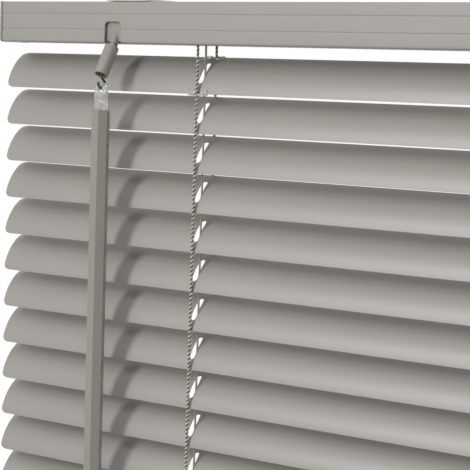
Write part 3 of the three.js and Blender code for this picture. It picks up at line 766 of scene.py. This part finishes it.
def turnedPiece(name, node, profile, around, place, axis, material, soft=0.25 * mm):
    # A piece turned from a (radius, height) profile in mm, its corners softened, standing for a CAD node.
    piece = joined(name, [turnedParts(softened(np.array(profile) * mm, soft), around, place, axis)])
    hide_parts(node)
    return dress(piece, material, bodyOf[node])


sleeveProfile = [(3, -18.5), (4, -18.5), (4, -0.5), (3, -0.5)]
turnedPiece("sleeve_tube", "hook_sleeve", sleeveProfile, 64, stemAt, stemAxis, "grey_plastic", soft=0.4 * mm)
drumProfile = [(2.3, -9.5), (3.2, -9.5), (3.2, -6.3), (5.4, -6.3), (5.4, -5.3), (4.6, -5.3),
               (4.6, 5.3), (5.4, 5.3), (5.4, 6.3), (3.2, 6.3), (3.2, 9.5), (2.3, 9.5)]
for index, side in enumerate(sides):
    turnedPiece("drum_" + side, "tilt_drum_" + side, drumProfile, 48, (ladderX[index], rodAt[1], rodAt[2]),
                (1, 0, 0), "white_plastic")
spoolAt = np.array(joints["spool_turn"]["pos_m"])
spoolProfile = [(1.9, -2.1), (7.3, -2.1), (7.3, -1.3), (5.6, -1.0),
                (5.6, 1.0), (7.3, 1.3), (7.3, 2.1), (1.9, 2.1)]
turnedPiece("spool_disc", "cord_spool", spoolProfile, 64, spoolAt, (0, 0, 1), "white_plastic")


# the stem and its thread, in mm along the stem and out from its axis
wormValues = {"low": -9, "high": 23, "threadLow": 14, "threadHigh": 22.6, "fade": 0.6, "core": 1.48,
              "thread": 0.36, "pitch": 1.7, "tip": 0.5, "rings": 260, "around": 36}


def wormSurface(values):
    # The stem with a screw thread: r = r0 + h max(0, cos(2 pi z / p - a))^2 between the thread's ends.
    z = np.linspace(values["low"], values["high"], values["rings"])[:, None]
    a = np.linspace(0, 2 * np.pi, values["around"], endpoint=False)[None]
    rise = np.clip((z - values["threadLow"]) / values["fade"], 0, 1)
    fall = np.clip((values["threadHigh"] - z) / values["fade"], 0, 1)
    ridge = np.clip(np.cos(2 * np.pi * z / values["pitch"] - a), 0, 1) ** 2
    end = np.minimum(z - values["low"], values["high"] - z) / values["tip"]
    r = (values["core"] + rise * fall * values["thread"] * ridge) * np.sqrt(np.clip(end, 0.001, 1)) * mm
    side = np.array((1.0, 0.0, 0.0))
    other = np.cross(stemAxis, side)
    points = stemAt + (z * mm)[..., None] * stemAxis
    points = points + (r * np.cos(a))[..., None] * side + (r * np.sin(a))[..., None] * other
    faces = gridFaces(values["rings"], values["around"], wrapColumns=True)
    return outward(meshPiece("worm_stem", points, faces))


worm = wormSurface(wormValues)
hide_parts("tilter_worm")
dress(worm, "white_plastic", "tilter_stem")

rodLow, rodHigh = (np.array(corner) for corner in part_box("tilt_rod"))
rodValues = {"radius": 2 * mm, "endShare": 0.86, "rings": 120}
rodPath = np.linspace((rodLow[0], rodAt[1], rodAt[2]), (rodHigh[0], rodAt[1], rodAt[2]), rodValues["rings"])
rodRadius = np.full(rodValues["rings"], rodValues["radius"])
rodRadius[[0, -1]] *= rodValues["endShare"]
rodPiece = joined("rod_bar", [tubeParts(rodPath, rodRadius, 24, (0, 1, 0))])
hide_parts("tilt_rod")
dress(rodPiece, "zinc_rod", "tilt_shaft")


hookAt = np.array(joints["hook_turn"]["pos_m"])
hookValues = {"wire": 0.7 * mm, "rings": 90, "tipRings": 3}
# the wire's way in mm from the hook's joint, as (y, z)
hookBend = [(0, 9.95), (0, 6.85), (0.5, 5.25), (2.3, 3.55), (2.7, 1.75),
            (1.3, 0.25), (0, 0), (-1.3, 0.25), (-2.6, 1.65), (-2.7, 3.45)]
hookSpots = [(hookAt[0], hookAt[1] + y * mm, hookAt[2] + z * mm) for y, z in hookBend]
hookPath = smoothPath(hookSpots, hookValues["rings"])
ring = np.arange(hookValues["rings"])
fromEnd = np.minimum(ring, ring[::-1]) + 0.6
tip = hookValues["wire"] * np.sqrt(np.clip(fromEnd / hookValues["tipRings"], 0.1, 1))
wireHook = joined("hook_wire", [tubeParts(hookPath, tip, 20, (1, 0, 0))])
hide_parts("wire_hook")
dress(wireHook, "steel", "hook")

connector = roundedCopy("wand_connector", 0.35 * mm, 3)
dress(connector, "clear_plastic", "wand_assembly")
print("headrail pieces made")


roomValues = {"floor": -1.25, "back": 1.0, "front": 0.63, "fadeFrom": -0.35, "fadeTo": 0.3,
              "target": (0.08, 0, -0.17), "spread": 70,
              "key": {"turn": 22, "lift": 24, "away": 2.1, "power": 4.5, "wide": 0.4, "high": 1.1},
              "top": {"turn": -24, "lift": 50, "away": 2.2, "power": 1.7, "wide": 1.4, "high": 0.6},
              "rim": {"at": (0.5, 1.9, 0.9), "power": 3, "wide": 1.2, "high": 1.2}}


def lampSpot(lamp, target):
    # Where a lamp stands: target + away (-sin turn cos lift, -cos turn cos lift, sin lift).
    turn, lift = math.radians(lamp["turn"]), math.radians(lamp["lift"])
    away = Vector((-math.sin(turn) * math.cos(lift), -math.cos(turn) * math.cos(lift), math.sin(lift)))
    return target + away * lamp["away"]


def makeRoom(values):
    # A pale floor, a world that is brighter behind the blind than before it, and three soft lamps.
    floorMaterial = bpy.data.materials.new("floor")
    floorMaterial.use_nodes = True
    floorShader = floorMaterial.node_tree.nodes["Principled BSDF"]
    floorShader.inputs["Base Color"].default_value = (0.9, 0.9, 0.9, 1)
    floorShader.inputs["Roughness"].default_value = 0.9
    low = values["floor"]
    floor = meshPiece("floor", [(-5, -7, low), (7, -7, low), (7, 2.8, low), (-5, 2.8, low)], [(0, 1, 2, 3)])
    floor.data.materials.append(floorMaterial)

    world = bpy.data.worlds.new("studio")
    bpy.context.scene.world = world
    world.use_nodes = True
    tree = world.node_tree
    place = tree.nodes.new("ShaderNodeTexCoord")
    split = tree.nodes.new("ShaderNodeSeparateXYZ")
    tree.links.new(place.outputs["Generated"], split.inputs[0])
    fade = tree.nodes.new("ShaderNodeMapRange")
    fade.interpolation_type = "SMOOTHSTEP"
    fade.inputs["From Min"].default_value = values["fadeFrom"]
    fade.inputs["From Max"].default_value = values["fadeTo"]
    fade.inputs["To Min"].default_value = values["front"]
    fade.inputs["To Max"].default_value = values["back"]
    tree.links.new(split.outputs["Y"], fade.inputs["Value"])
    tree.links.new(fade.outputs["Result"], tree.nodes["Background"].inputs["Strength"])
    tree.nodes["Background"].inputs["Color"].default_value = (1, 1, 1, 1)

    target = Vector(values["target"])
    for name, lamp in (("key", values["key"]), ("top", values["top"]), ("back", values["rim"])):
        place = Vector(lamp["at"]) if "at" in lamp else lampSpot(lamp, target)
        data = bpy.data.lights.new(name, "AREA")
        data.shape = "RECTANGLE"
        data.size = lamp["wide"]
        data.size_y = lamp["high"]
        data.energy = lamp["power"]
        data.spread = math.radians(values["spread"])
        light = bpy.data.objects.new(name, data)
        bpy.context.scene.collection.objects.link(light)
        light.location = place
        light.rotation_euler = (target - place).to_track_quat("-Z", "Y").to_euler()
    bpy.context.scene.view_settings.view_transform = "Standard"


makeRoom(roomValues)
print("room lit")
